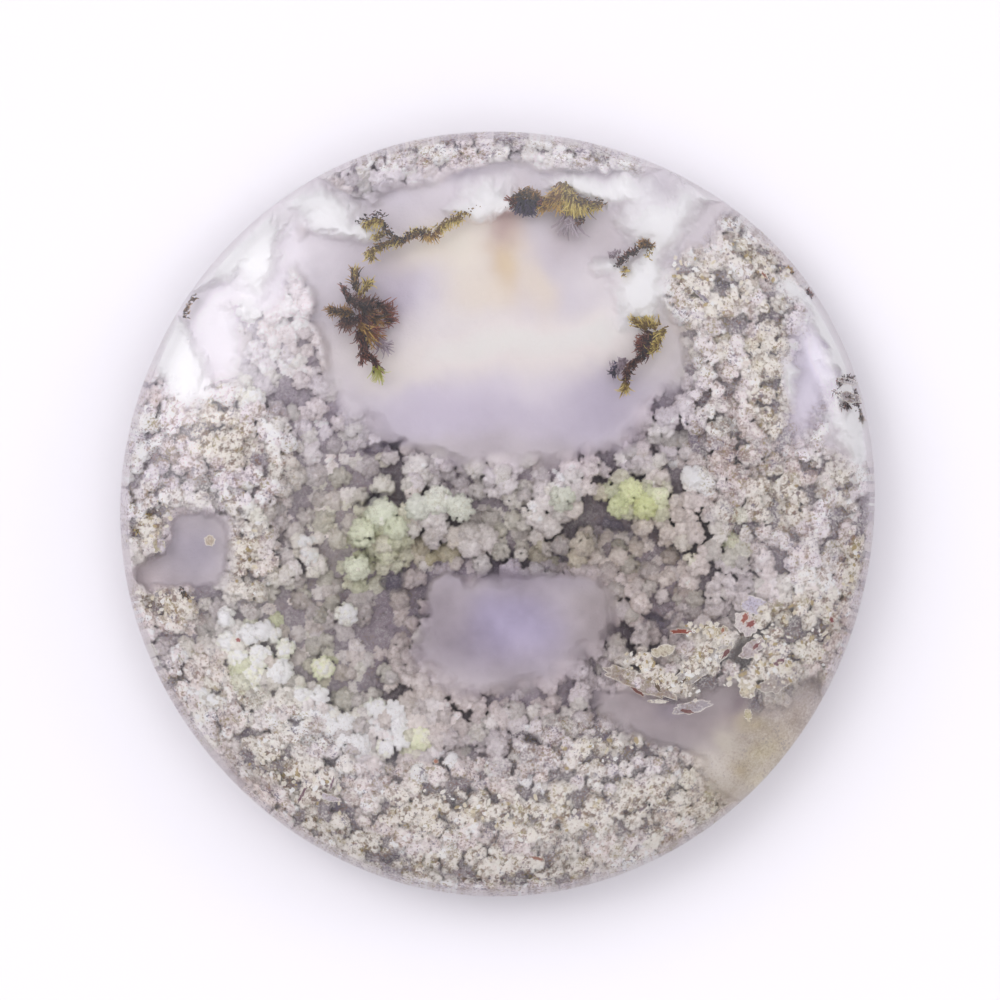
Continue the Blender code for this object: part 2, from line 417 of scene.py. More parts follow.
def cutMoss(name):
    # Chlorite, clay and iron moss: dull and crumbly, with pale grains and dark iron and manganese specks.
    material, tree, shader = newMaterial(name)
    where = addNode(tree, "ShaderNodeTexCoord").outputs["Object"]
    tint = addNode(tree, "ShaderNodeAttribute", {"attribute_name": "tint"}).outputs["Color"]
    speck = addNode(tree, "ShaderNodeAttribute", {"attribute_name": "speck"}).outputs["Fac"]
    grain, cluster, hue = (
        addNode(
            tree, "ShaderNodeTexNoise", None,
            {"Vector": where, "Scale": 1 / (size * mm), "Detail": detail, "Roughness": rough},
        ).outputs["Fac"]
        for size, detail, rough in (crumble["grain"], crumble["cluster"], crumble["hue"])
    )
    level = addNode(
        tree, "ShaderNodeMath", {"operation": "MULTIPLY_ADD"},
        {0: cluster, 1: crumble["clustering"], 2: grain},
    ).outputs[0]
    shares = {}
    for kind in ("dark", "pale"):
        start, full, most = crumble[kind]
        much = addNode(
            tree, "ShaderNodeMapRange", None,
            {"Value": level, "From Min": start, "From Max": full, "To Min": 0.0, "To Max": most},
        ).outputs["Result"]
        share = addNode(tree, "ShaderNodeMath", {"operation": "MULTIPLY"}, {0: much, 1: speck})
        shares[kind] = share.outputs[0]
    ink = addNode(tree, "ShaderNodeValToRGB", None, {"Fac": hue})
    stops = ink.color_ramp.elements
    violet, brown, olive = ((*underGlass(seen(code)), 1) for code in crumble["inks"])
    stops[0].position, stops[1].position = 0.38, 0.62
    stops[0].color, stops[1].color = violet, olive
    stops.new(0.5).color = brown
    lighter = addNode(
        tree, "ShaderNodeMix", {"data_type": "RGBA"},
        {0: shares["pale"], 6: tint, 7: (*underGlass(seen(crumble["paleGrain"])), 1)},
    ).outputs[2]
    mixed = addNode(
        tree, "ShaderNodeMix", {"data_type": "RGBA"},
        {0: shares["dark"], 6: lighter, 7: ink.outputs["Color"]},
    ).outputs[2]
    tree.links.new(mixed, shader.inputs["Base Color"])
    bump = addNode(tree, "ShaderNodeBump", None, {"Height": level, "Strength": 0.5, "Distance": 0.05 * mm})
    tree.links.new(bump.outputs["Normal"], shader.inputs["Normal"])
    shader.inputs["Roughness"].default_value = 0.8
    shader.inputs["Specular IOR Level"].default_value = 0.1
    return material


def ironPlume():
    # Goethite and manganese threads: silky, dark where they crowd and amber where they thin out.
    material, tree, shader = newMaterial("goethite_threads")
    tint = addNode(tree, "ShaderNodeAttribute", {"attribute_name": "tint"}).outputs["Color"]
    tree.links.new(tint, shader.inputs["Base Color"])
    shader.inputs["Roughness"].default_value = 0.45
    shader.inputs["IOR"].default_value = 2.2
    shader.inputs["Specular IOR Level"].default_value = 0.3
    return material


def setAttribute(mesh, name, kind, values):
    attribute = mesh.attributes.new(name, kind, "POINT")
    key = "color" if kind == "FLOAT_COLOR" else "value"
    attribute.data.foreach_set(key, np.ascontiguousarray(values, np.float32).ravel())


def setColour(mesh, colour):
    own = underGlass(colour)
    setAttribute(mesh, "tint", "FLOAT_COLOR", np.concatenate([own, np.ones((len(own), 1))], 1))


def meshPoints(mesh):
    flat = np.empty(len(mesh.vertices) * 3, np.float32)
    mesh.vertices.foreach_get("co", flat)
    return flat.reshape(-1, 3).astype(float)


def cornerOwners(mesh):
    owners = np.empty(len(mesh.loops), np.int32)
    mesh.loops.foreach_get("vertex_index", owners)
    return owners


def movePoints(mesh, points):
    mesh.vertices.foreach_set("co", points.astype(np.float32).ravel())
    mesh.update()


def setBakeMap(mesh, u, v):
    # one value for each corner of each face; the finish can be baked through this map
    layer = mesh.uv_layers.new(name="OFBake")
    layer.data.foreach_set("uv", np.stack([u, v], 1).astype(np.float32).ravel())


def flatBakeMap(mesh):
    # looked at from above on the left half of the map and from below on the right half
    points = meshPoints(mesh)[cornerOwners(mesh)]
    up = np.empty(len(mesh.polygons) * 3, np.float32)
    mesh.polygons.foreach_get("normal", up)
    sides = np.empty(len(mesh.polygons), np.int32)
    mesh.polygons.foreach_get("loop_total", sides)
    below = np.repeat(up.reshape(-1, 3)[:, 2] < -0.2, sides)
    low, high = points.min(0), points.max(0)
    u, v = (0.01 + 0.98 * (points[:, i] - low[i]) / (high[i] - low[i]) for i in (0, 1))
    setBakeMap(mesh, u * 0.5 + np.where(below, 0.5, 0.0), v)


def meshFromShape(name, shape):
    mesh = bpy.data.meshes.new(name)
    shape.to_mesh(mesh)
    shape.free()
    return mesh


def addPiece(name, mesh, material):
    piece = bpy.data.objects.new(name, mesh)
    mesh.materials.append(material)
    bpy.context.scene.collection.objects.link(piece)
    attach(piece, "root")
    return piece


def meshFromArrays(name, points, faces):
    mesh = bpy.data.meshes.new(name)
    sides = faces.shape[1]
    mesh.vertices.add(len(points))
    mesh.vertices.foreach_set("co", (points * mm).astype(np.float32).ravel())
    mesh.loops.add(faces.size)
    mesh.loops.foreach_set("vertex_index", faces.astype(np.int32).ravel())
    mesh.polygons.add(len(faces))
    mesh.polygons.foreach_set("loop_start", np.arange(0, faces.size, sides, dtype=np.int32))
    mesh.update(calc_edges=True)
    mesh.shade_smooth()
    return mesh


def keepInside(points):
    # nothing passes the polish, so what reaches it is cut flat
    inward = np.minimum(1.0, threads["reach"] / np.maximum(shareOf(points[:, 0], points[:, 1]), 1e-6))
    points[:, 0] = (points[:, 0] + middleX) * inward - middleX
    points[:, 1] = (points[:, 1] + middleY) * inward - middleY
    points[:, 2] = np.minimum(points[:, 2], domeAt(points[:, 0], points[:, 1]) - threads["cover"])
    points[:, 2] = np.maximum(points[:, 2], moss["bottom"] + 0.02)
    return points


# Roughness of the polish. It stands in for the soft focus of what lies deep, away from the rim.
haze = {"clear": 0.03, "overMoss": 0.05, "overPond": 0.12, "fade": (0.35, 0.80), "crispEdge": 40}


def buildPolishedStone():
    radius = meanRadius * mm
    shape = bmesh.new()
    outline = []
    rings = stone["domeRings"]
    for ring in range(rings):
        share = math.sin(0.5 * math.pi * ring / rings)
        outline.append((radius * share, float(domeHeight(np.float64(share))) * mm))
    slope, bevel, top = stone["girdleSlope"] * mm, stone["backBevel"] * mm, stone["girdleTop"] * mm
    outline += [(radius, top), (radius - slope * 0.5, (top + bevel) / 2), (radius - slope, bevel)]
    outline += [(radius - slope - bevel, 0.0), (0.0, 0.0)]
    points = [shape.verts.new((x, 0, z)) for x, z in outline]
    lines = [shape.edges.new(pair) for pair in zip(points, points[1:])]
    bmesh.ops.spin(
        shape, geom=points + lines, cent=(0, 0, 0), axis=(0, 0, 1), angle=2 * math.pi,
        steps=stone["turnSteps"], use_merge=True,
    )
    bmesh.ops.remove_doubles(shape, verts=shape.verts, dist=1e-7)
    bmesh.ops.recalc_face_normals(shape, faces=shape.faces)
    mesh = meshFromShape("polished_stone", shape)
    co = meshPoints(mesh)
    factor = outlineFactor(np.arctan2(co[:, 1], co[:, 0]))
    co[:, 0] = co[:, 0] * factor - middleX * mm
    co[:, 1] = co[:, 1] * factor - middleY * mm
    movePoints(mesh, co)
    found = fieldsAt(co[:, 0] / mm, co[:, 1] / mm)
    inner = 1 - ramp(found["share"], *haze["fade"])
    deep = inner * (1 - found["cut"])
    overPond = (haze["overPond"] - haze["overMoss"]) * ramp(found["nearPond"], 0.0, 0.7)
    rough = haze["clear"] + (haze["overMoss"] + overPond) * deep
    crisp = patches(found["px"], found["py"], "crisp", haze["crispEdge"])
    rough = rough * (1 - crisp) + haze["clear"] * crisp
    onDome = co[:, 2] > 0.5 * stone["girdleTop"] * mm
    setAttribute(mesh, "haze", "FLOAT", np.where(onDome, rough, haze["clear"]))
    flatBakeMap(mesh)
    mesh.shade_smooth()
    mesh.set_sharp_from_angle(angle=math.radians(35))
    piece = addPiece("polished_stone", mesh, polishedChalcedony())
    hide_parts("moss_agate_cabochon")
    print("polished stone:", len(mesh.polygons), "faces")


# The moss: round heads built of small grains, standing at many depths. Sizes in mm.
moss = {
    "squares": 290,  # along one side of a quarter
    "reach": 0.976,  # share of the outline
    "bottom": 0.30,
    "cover": 0.05,  # least stone above it
    "headSpacing": 0.60,
    "headRadius": (0.28, 0.57),
    "roundness": 0.85,
    "standing": 1.35,  # how much farther back the hindmost heads are
    "gapDepth": 0.9,
    "grainSpacing": 0.165,
    "grainRadius": (0.11, 0.16),
    "grainRise": 0.075,
    "pondDepth": 1.3,
    "paintedLightWindowDepth": 0.14,
    "none": -99.0,  # the height that stands for no moss there
    "risesAt": (0.30, 0.90),  # shares of the outline between which the moss comes up to the polish
}


def scatter(spacing, seed):
    # one place somewhere in each square of a lattice, and four chances for each
    half = int(stone["width"] / 2 / spacing) + 3
    rng = np.random.default_rng(seed)
    i, j = np.meshgrid(np.arange(-half, half), np.arange(-half, half), indexing="ij")
    return {
        "spacing": spacing,
        "half": half,
        "x": ((i + rng.random(i.shape)) * spacing).ravel(),
        "y": ((j + rng.random(i.shape)) * spacing).ravel(),
        "chance": rng.random((4, i.size)),
    }


def around(table, x, y):
    # the nine lattice places about each point
    ix, iy = (np.floor(a / table["spacing"]).astype(int) + table["half"] for a in (x, y))
    for dx in (-1, 0, 1):
        for dy in (-1, 0, 1):
            yield (ix + dx) * 2 * table["half"] + iy + dy


def gapShadeColour(found):
    # the ground between heads: the clouds' colour darkened and drawn toward dusky violet, painted shade
    shadedGround = cloudColour(found) * (0.50 - 0.08 * found["cut"])[:, None]
    return blend(shadedGround, 0.4 * (1 - 0.5 * found["cut"]), seen(clouds["gapShade"]))


def headColour(x, y, found, stand, chance):
    tone = cloudNoise(x, y, 0.0, 1.8, 81, 3)
    # Heads that stand nearer the polish are painted lighter and the hindmost darker: painted light and shade
    # by depth. Tone and chance vary the lightness at random, and the heads turn lighter towards the rim.
    light = 0.98 + 0.28 * stand + 0.65 * (chance[1] - 0.5) + 1.0 * (tone - 0.5)
    light = light * (1 + 0.06 * found["cut"] + 0.25 * ramp(found["share"], 0.84, 0.97))
    colour = cloudColour(found) * light[:, None]
    warm = cloudNoise(x, y, 0.0, 2.3, 87, 3) + 0.30 * (chance[2] - 0.5)
    for share, cast in (
        (ramp(warm, 0.50, 0.58), (1.03, 0.985, 0.91)),  # beige
        (ramp(0.50 - warm, 0.0, 0.06), (0.97, 1.02, 0.88)),  # sage
        (ramp(0.40 - warm, 0.0, 0.08), (1.00, 0.95, 1.08)),  # lilac
        (ramp(chance[3], 0.74, 0.88), (1.38, 1.38, 1.38)),  # some are paler
    ):
        colour = blend(colour, share, colour * np.array(cast))
    for name, share, code in (
        ("olive", 0.50 * ramp(chance[2], 0.2, 0.6), "9A9260"),
        ("rust", 0.35 * ramp(chance[2], 0.3, 0.7), "9C7460"),
        ("green", 0.60 + 0.35 * chance[2], "ACB284"),
        ("crust", 0.75, "D6CBBB"),
    ):
        colour = blend(colour, found[name] * share, seen(code))
    frosted = blend(np.ones((len(x), 3)) * seen("FFFFF6"), chance[2] * 0.5, seen("ECE9C4"))
    return blend(colour, found["white"] * 0.95, frosted)


# single tufts: (x, y, radius, colour), in the photograph's pixels
tufts = [
    (283, 668, 13, "F3F3E6"), (268, 648, 11, "E6EBC8"), (257, 672, 12, "DDE2B4"), (305, 692, 9, "E4E6CC"),
    (323, 692, 9, "F0F0DC"), (307, 728, 8, "FCFAF6"), (333, 723, 8, "FAF8F0"), (348, 718, 9, "EDEADA"),
    (398, 706, 10, "F6F8E4"), (399, 720, 9, "FAFAF0"), (403, 736, 9, "FAFAEC"), (362, 740, 12, "F6F4F6"),
    (376, 704, 10, "DDE3CC"), (420, 770, 10, "FAF8FA"), (452, 757, 8, "F0ECEA"), (492, 763, 8, "F6F4E8"),
    (527, 775, 7, "F4F0F2"), (540, 783, 7, "F0ECF2"), (280, 717, 10, "F4EFF0"), (327, 664, 11, "CBD39C"),
    (422, 732, 12, "CDD59E"), (690, 478, 12, "F4F2EE"), (698, 486, 9, "E8E6E0"), (352, 612, 10, "DCDAC8"),
    (232, 640, 10, "E2E2CC"), (252, 632, 10, "ECEBDA"), (270, 628, 9, "F0EFE2"), (256, 690, 9, "D6DAB4"),
    (312, 710, 8, "F2F0E2"), (326, 740, 8, "EEECE0"), (345, 736, 9, "F4F2EC"), (388, 742, 8, "E2E6C8"),
    (290, 646, 9, "D2D8B6"), (243, 655, 10, "DAD9C0"), (300, 706, 9, "E9E5D8"), (208, 686, 11, "F2EEEC"),
    (196, 692, 10, "E6E0DE"), (438, 500, 13, "B4B8A4"), (462, 508, 12, "ABB09C"),
    (384, 512, 14, "B2BA9A"), (366, 532, 13, "A9B08C"), (398, 528, 11, "A5AC8A"),
    (360, 566, 12, "AEB594"), (560, 498, 12, "A4A994"), (628, 490, 12, "A6AE74"),
    (642, 506, 12, "9EA66A"), (616, 506, 10, "969E6C"), (656, 496, 10, "AEB486"),
    (420, 508, 12, "A9AD9C"),
]


def settle(heads, px, py):
    # the nearest head moves to this place
    x, y = fromPixels(px, py)
    place = np.argmin((heads["x"] - x) ** 2 + (heads["y"] - y) ** 2)
    reach = 0.4 * moss["headSpacing"]
    heads["x"][place] += np.clip(x - heads["x"][place], -reach, reach)
    heads["y"][place] += np.clip(y - heads["y"][place], -reach, reach)
    return place


def placeHeads():
    heads = scatter(moss["headSpacing"], 11)
    settled = [(settle(heads, px, py), size, code) for px, py, size, code in tufts]
    x, y, chance = heads["x"], heads["y"], heads["chance"]
    found = fieldsAt(x, y)
    inner = 1 - ramp(found["share"], *moss["risesAt"])
    stand = ramp(cloudNoise(x, y, 0.0, 2.6, 31, 3), 0.40, 0.60)
    low, high = moss["headRadius"]
    radius = low + (high - low) * chance[0]
    depth = 0.12 + 0.50 * inner + moss["standing"] * (1 - stand) * (0.35 + 0.65 * inner)
    depth = depth + 0.45 * (chance[1] - 0.5) + 0.35 * found["nearPond"]
    reaching = np.where(chance[2] < 0.74, -0.15, 0.38) + 0.2 * chance[1]
    cut = np.maximum(found["cut"], found["crust"])
    depth = depth * (1 - cut) + reaching * cut
    depth = depth * (1 - found["white"]) + 0.10 * found["white"]
    there = (found["pond"] < 0.4) & (found["shadedHole"] < 0.5) & (found["hollow"] < 0.5) & (chance[3] > 0.08)
    heads["radius"] = radius
    heads["there"] = there.astype(float)
    heads["z"] = np.where(there, domeAt(x, y) - depth - radius * moss["roundness"], moss["none"])
    heads["colour"] = headColour(x, y, found, stand, chance)
    for place, size, code in settled:
        heads["radius"][place] = size * mmPerPixel
        heads["there"][place] = 1.0
        heads["z"][place] = domeAt(x[place], y[place]) - 0.16 - heads["radius"][place] * moss["roundness"]
        heads["colour"][place] = 1.4 * seen(code)
    return heads


def apartFrom(table, place, x, y):
    # squared distance from the middle of a head or grain, 1 at its edge
    return ((x - table["x"][place]) ** 2 + (y - table["y"][place]) ** 2) / table["radius"][place] ** 2


def headsAt(heads, x, y):
    # the uppermost head at each point, how near its middle, and a soft mixture of those about
    top, owner, middle = np.full(x.shape, moss["none"]), np.zeros(x.shape, int), np.zeros(x.shape)
    weight, mixed, level = np.full(x.shape, 1e-6), np.zeros((len(x), 3)), np.zeros(x.shape)
    for place in around(heads, x, y):
        apart = apartFrom(heads, place, x, y)
        bulge = np.sqrt(np.clip(1 - apart, 0, 1))
        z = heads["z"][place] + bulge * heads["radius"][place] * moss["roundness"]
        better = (z > top) & (apart < 1)
        top = np.where(better, z, top)
        owner = np.where(better, place, owner)
        middle = np.where(better, bulge, middle)
        share = heads["there"][place] * np.exp(-1.6 * apart)
        weight = weight + share
        mixed = mixed + share[:, None] * heads["colour"][place]
        level = level + share * np.maximum(heads["z"][place], 0)
    return top, owner, middle, weight, mixed / weight[:, None], level / weight


def groundAt(x, y, found):
    inner = 1 - ramp(found["share"], *moss["risesAt"])
    depth = 0.45 + moss["gapDepth"] * (0.4 + 0.6 * inner) * (1 - 0.6 * found["cut"])
    depth = depth + moss["standing"] * 0.6 * inner * (1 - found["cut"])
    shore = ramp(found["nearPond"], 0.0, 0.4) * (1 - found["cut"])
    depth = depth * (1 - shore) + (moss["pondDepth"] + 0.15) * shore
    return domeAt(x, y) - depth + 0.25 * (cloudNoise(x, y, 0.0, 0.9, 43, 3) - 0.5)


def placeGrains(heads):
    grains = scatter(moss["grainSpacing"], 7)
    x, y, chance = grains["x"], grains["y"], grains["chance"]
    found = fieldsAt(x, y)
    top, owner, middle, _, _, _ = headsAt(heads, x, y)
    ground = groundAt(x, y, found)
    onHead = top > ground
    low, high = moss["grainRadius"]
    grains["radius"] = low + (high - low) * chance[0]
    grains["z"] = np.where(onHead, top, ground) + 0.06 * (chance[1] - 0.5)
    edge = 1 - ramp(middle, 0.25, 0.75)
    cut = np.maximum(found["cut"], found["crust"])
    # Grains are painted lighter towards the middle of their head and darker towards its edge: painted light
    # and shade on the round heads. Where the polish cuts the moss, the edges turn paler and the middles
    # darker instead, and chance varies each grain.
    light = 0.80 + 0.40 * (chance[1] - 0.5) + 0.34 * middle
    light = light + cut * (0.14 + 0.26 * edge - 0.28 * middle + 0.55 * (chance[1] - 0.5))
    colour = heads["colour"][owner] * light[:, None]
    colour = blend(colour, ramp(chance[2], 0.84, 0.92) * 0.60, colour * 1.45)
    brown = np.maximum(ramp(chance[3], 0.80, 0.90) * 0.65, ramp(chance[3], 0.45, 0.60) * 0.7 * found["rust"])
    for share, code in (
        (cut * brown, "6C5648"),
        (found["crust"] * ramp(chance[2], 0.45, 0.55) * 0.75, "EBE2D2"),
        (found["crust"] * ramp(0.22 - chance[2], 0.0, 0.05) * 0.85, "554436"),
        (found["crust"] * ramp(0.08 - chance[3], 0.0, 0.03) * 0.7, "7A6636"),
    ):
        colour = blend(colour, share, seen(code))
    # grains on the ground between heads take the painted shade of the gaps
    shadedGround = gapShadeColour(found) * (0.80 + 0.34 * chance[1])[:, None]
    grains["colour"] = np.where(onHead[:, None], colour, shadedGround)
    return grains


def mossAt(heads, grains, x, y, found):
    # the uppermost grain at each point. Where none reaches, the lowest one about lends its height
    # and colour.
    top, owner, away = np.full(x.shape, moss["none"]), np.zeros(x.shape, int), np.zeros(x.shape)
    lowest, spare = np.full(x.shape, -moss["none"]), np.zeros(x.shape, int)
    for place in around(grains, x, y):
        apart = apartFrom(grains, place, x, y)
        z = grains["z"][place] + moss["grainRise"] * (1 - apart)
        better = (z > top) & (apart < 1.3)
        top = np.where(better, z, top)
        owner = np.where(better, place, owner)
        away = np.where(better, apart, away)
        lower = grains["z"][place] < lowest
        lowest = np.where(lower, grains["z"][place], lowest)
        spare = np.where(lower, place, spare)
    bare = top == moss["none"]
    top, owner = np.where(bare, lowest - 0.03, top), np.where(bare, spare, owner)
    # each grain is painted a little darker towards its edge: painted shade between grains
    colour = grains["colour"][owner] * (1 - 0.10 * away)[:, None]
    _, _, _, weight, mixed, level = headsAt(heads, x, y)
    # milky chalcedony in front of it: the grains melt together, and then the heads
    milk = np.maximum(found["nearPond"], found["pond"]) * (1 - found["cut"])
    cover = 1 - np.exp(-1.1 * weight)
    # where the heads thin out, the painted shade of the gaps shows, paler under the milk
    between = blend(gapShadeColour(found), ramp(milk, 0.0, 0.3) * 0.7, cloudColour(found))
    softly = blend(between, cover, mixed)
    colour = blend(colour, ramp(milk, 0.02, 0.20), softly)
    colour = blend(colour, ramp(milk, 0.08, 0.44), cloudColour(found))
    smooth = groundAt(x, y, found) * (1 - cover) + (level + 0.35) * cover
    shore = ramp(milk, 0.06, 0.42)
    smooth = smooth * (1 - shore) + (domeAt(x, y) - moss["pondDepth"]) * shore
    calm = ramp(milk, 0.0, 0.28)
    return top * (1 - calm) + smooth * calm, colour


def buildMossQuarter(name, wayX, wayY, heads, grains, material):
    shape = bmesh.new()
    bmesh.ops.create_grid(shape, x_segments=moss["squares"], y_segments=moss["squares"], size=0.5)
    bmesh.ops.translate(shape, verts=shape.verts, vec=(0.5 * wayX, 0.5 * wayY, 0.0))
    rim = [e for e in shape.edges if e.is_boundary]
    for e in rim:
        e.smooth = False
    walls = bmesh.ops.extrude_edge_only(shape, edges=rim)["geom"]
    bmesh.ops.translate(shape, verts=[v for v in walls if isinstance(v, bmesh.types.BMVert)], vec=(0, 0, -1))
    lowEdges = [e for e in walls if isinstance(e, bmesh.types.BMEdge) and e.is_boundary]
    bmesh.ops.contextual_create(shape, geom=lowEdges)
    bmesh.ops.recalc_face_normals(shape, faces=shape.faces)
    mesh = meshFromShape(name, shape)
    co = meshPoints(mesh)
    u, v, low = co[:, 0], co[:, 1], co[:, 2] < -0.5
    # the square grid is drawn into a disc, and the disc into the outline
    dx, dy = u * np.sqrt(1 - v * v / 2), v * np.sqrt(1 - u * u / 2)
    turn = np.arctan2(dy, dx)
    reach = np.hypot(dx, dy) * moss["reach"] * meanRadius * outlineFactor(turn)
    x, y = reach * np.cos(turn) - middleX, reach * np.sin(turn) - middleY
    found = fieldsAt(x, y)
    z, colour = mossAt(heads, grains, x, y, found)
    depth = domeAt(x, y) - z + 0.4 * found["shadedHole"]
    pondDepth = moss["pondDepth"] + 0.4 * (cloudNoise(x, y, 0.0, 3.0, 71) - 0.5)
    depth = depth * (1 - found["pond"]) + pondDepth * found["pond"]
    # the windows' painted white sheet rises to just under the polish
    depth = depth * (1 - found["paintedLightWindow"]) + moss["paintedLightWindowDepth"] * found["paintedLightWindow"]
    z = np.maximum(domeAt(x, y) - np.maximum(depth, moss["cover"]), moss["bottom"] + 0.1)
    z = np.where(low, moss["bottom"], z)
    movePoints(mesh, np.stack([x, y, z], 1) * mm)
    # painted shade: holes darkened. Painted light: windows painted white, for the bright ground seen through
    # clear stone
    colour = blend(colour, found["shadedHole"] * 0.75, seen(clouds["shadedHole"]))
    colour = blend(colour, found["pond"], cloudColour(found))
    colour = blend(colour, found["paintedLightWindow"], seen(clouds["clear"]))
    # the rim takes the colour of the clouds, and the underside one even colour
    rimShare = np.maximum(low, 0.6 * ramp(found["share"], 0.965, 0.985))
    rimColour = np.where(low[:, None], seen(clouds["base"]), cloudColour(found)) * 1.15
    colour = blend(colour, rimShare, rimColour)
    setColour(mesh, colour)
    speck = (0.28 + 0.72 * found["cut"]) * (1 - ramp(found["nearPond"], 0.0, 0.25) * (1 - found["cut"]))
    speck = speck * (1 - found["pond"]) * (1 - found["paintedLightWindow"]) * (1 - 0.7 * found["white"])
    speck = np.where(low, 0.3, np.maximum(speck, 0.45 * found["dusty"]))
    setAttribute(mesh, "speck", "FLOAT", speck)
    flatBakeMap(mesh)
    mesh.shade_smooth()
    addPiece(name, mesh, material)
    print(name, len(mesh.polygons), "faces")


def buildMoss():
    heads = placeHeads()
    grains = placeGrains(heads)
    material = cutMoss("crumbly_moss")
    for name, wayX, wayY in (
        ("moss_upper_right", 1, 1), ("moss_upper_left", -1, 1),
        ("moss_lower_left", -1, -1), ("moss_lower_right", 1, -1),
    ):
        buildMossQuarter(name, wayX, wayY, heads, grains, material)


